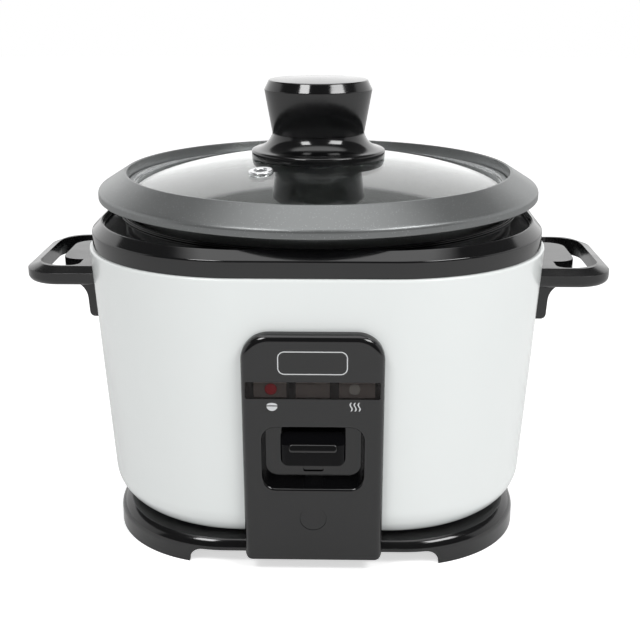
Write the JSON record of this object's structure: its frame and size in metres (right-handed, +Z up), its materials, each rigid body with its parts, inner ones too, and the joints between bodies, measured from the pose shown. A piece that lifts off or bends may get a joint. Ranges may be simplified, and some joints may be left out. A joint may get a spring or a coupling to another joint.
{
  "type": "rice cooker",
  "caption": "Lever-switch rice cooker: rounded-square white can on a black base, side handles, lift-out non-stick pot and domed glass lid with a knob.",
  "frame": {"origin": "middle of the base's rest plane, on the pot's axis", "axes": "+Z up along the pot axis, -Y towards the lever panel, +X to the right handle seen from the front"},
  "size_m": [0.2818, 0.2174, 0.2092],
  "materials": {
    "white_enamel": "gloss enamel",
    "black_plastic": "gloss",
    "smoked_acrylic": "smoked, gloss",
    "red_lamp": "gloss",
    "clear_lamp": "clear",
    "non_stick": "satin non-stick coat",
    "lid_glass": "clear",
    "bright_steel": "polished",
    "aluminium": "satin",
    "steel": "plated",
    "black_rubber": "matte",
    "ferrite": "matte",
    "brown_plastic": "phenolic",
    "black_matte": "fine texture",
    "brass": "plain",
    "wire_cover": "silicone sleeve"
  },
  "bodies": {
    "can": {"outer_shell": "white_enamel", "top_collar": "black_plastic", "base": "black_plastic", "left_handle": "black_plastic", "right_handle": "black_plastic", "control_panel": "black_plastic", "panel_plug": "black_plastic", "indicator_window": "smoked_acrylic", "cook_lamp": "red_lamp", "warm_lamp": "clear_lamp", "inner_liner": "aluminium", "hot_plate": "aluminium", "heating_element": "steel", "plate_spacers": "steel", "plate_screws": "steel", "liner_screws": "steel", "base_screws": "steel", "handle_screws": "steel", "panel_screws": "steel", "frame_screws": "steel", "inlet_screws": "steel", "thermostat_housing": "steel", "thermostat_spring": "steel", "release_spring": "steel", "switch_frame": "steel", "switch_pivot_pin": "steel", "fuse_clip": "steel", "contact_block": "brown_plastic", "warm_thermostat": "brown_plastic", "lamp_holder": "brown_plastic", "inlet_socket": "black_matte", "element_terminals": "brass", "contact_leaf": "brass", "inlet_pins": "brass", "thermal_fuse": "brass", "neutral_wire": "wire_cover", "live_wire": "wire_cover", "element_wire": "wire_cover"},
    "lid": {"lid_glass": "lid_glass", "lid_rim": "bright_steel", "steam_vent": "bright_steel", "knob_skirt": "black_plastic", "knob_grip": "black_plastic", "knob_screw": "steel", "knob_washer": "black_rubber"},
    "pot": {"inner_pot": "non_stick"},
    "lever": {"switch_lever": "black_plastic", "lever_arm": "steel"},
    "magnet_rod": {"magnet": "ferrite", "pull_rod": "steel"},
    "sensor": {"sensor_cap": "aluminium", "sensor_ferrite": "ferrite"}
  },
  "joints": [
    {"name": "pot_lift", "type": "slide", "parent": "can", "child": "pot", "axis": [0, 0, 1], "range_m": [0, 0.12]},
    {"name": "lid_lift", "type": "slide", "parent": "pot", "child": "lid", "axis": [0, 0, 1], "range_m": [0, 0.1]},
    {"name": "lever_press", "type": "hinge", "parent": "can", "child": "lever", "pos_m": [0, -0.026, 0.0575], "axis": [1, 0, 0], "range_deg": [0, 6.5], "stiffness_Nm_per_rad": 0.4, "springref_deg": -6.88, "deforming": ["contact_leaf"]},
    {"name": "magnet_lift", "type": "slide", "parent": "can", "child": "magnet_rod", "axis": [0, 0, 1], "range_m": [0, 0.00341], "deforming": ["release_spring"]},
    {"name": "sensor_press", "type": "slide", "parent": "can", "child": "sensor", "axis": [0, 0, 1], "range_m": [-0.0015, 0], "stiffness_N_per_m": 400, "springref_m": 0.003, "deforming": ["thermostat_spring"]}
  ],
  "couplings": [
    {"joint": "magnet_lift", "follows": "lever_press", "m_per_rad": 0.03}
  ]
}
